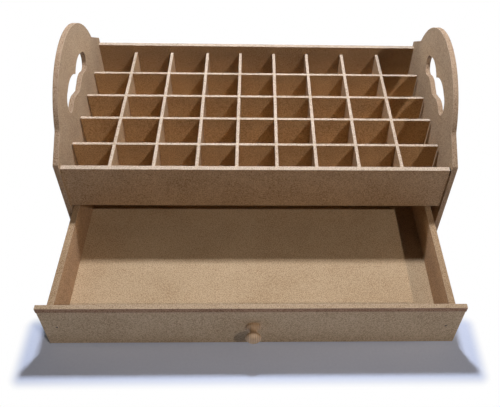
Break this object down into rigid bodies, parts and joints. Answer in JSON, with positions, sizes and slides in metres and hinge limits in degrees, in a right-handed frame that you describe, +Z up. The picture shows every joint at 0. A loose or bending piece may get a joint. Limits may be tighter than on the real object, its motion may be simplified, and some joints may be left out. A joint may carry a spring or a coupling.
{
  "type": "hobby workstation organizer",
  "caption": "Wooden carry organizer for hobby work: a tray divided into small cells above one full-width drawer, with a rounded handle panel at each end.",
  "frame": {"origin": "on the table, under the middle of the whole object with its drawer out as pictured, which is 68 mm in front of the body's own centre and 2 mm to its left, because the loose drawer stands 3.5 mm to the left", "axes": "+X to the right, seen from the drawer side; +Y towards the back; +Z up; the drawer opens towards -Y"},
  "size_m": [0.3912, 0.3559, 0.1913],
  "materials": {
    "mdf": "raw medium-density fibreboard, unpainted",
    "mdf_edge": "cut fibreboard strip, a little darker",
    "knob_wood": "small turned wooden knob, matt",
    "steel": "plain steel brads and screw"
  },
  "bodies": {
    "case": {"left_end_panel": "mdf", "right_end_panel": "mdf", "tray_front_panel": "mdf", "back_panel": "mdf", "tray_floor": "mdf", "base_board": "mdf", "left_end_brads": "steel", "right_end_brads": "steel"},
    "lift_out_grid": {"long_divider_1": "mdf", "long_divider_2": "mdf", "long_divider_3": "mdf", "long_divider_4": "mdf", "cross_divider_1": "mdf", "cross_divider_2": "mdf", "cross_divider_3": "mdf", "cross_divider_4": "mdf", "cross_divider_5": "mdf", "cross_divider_6": "mdf", "cross_divider_7": "mdf", "cross_divider_8": "mdf"},
    "drawer": {"drawer_front": "mdf", "drawer_cap_strip": "mdf_edge", "drawer_left_side": "mdf", "drawer_right_side": "mdf", "drawer_back": "mdf", "drawer_floor": "mdf", "drawer_knob": "knob_wood", "knob_screw": "steel", "drawer_front_brads": "steel", "drawer_side_brads": "steel", "drawer_floor_brads": "steel"}
  },
  "joints": [
    {"name": "drawer_slide", "type": "slide", "parent": "case", "child": "drawer", "axis": [0, 1, 0], "range_m": [-0.037, 0.1149]},
    {"name": "grid_lift", "type": "slide", "parent": "case", "child": "lift_out_grid", "axis": [0, 0, 1], "range_m": [0, 0.06]}
  ]
}
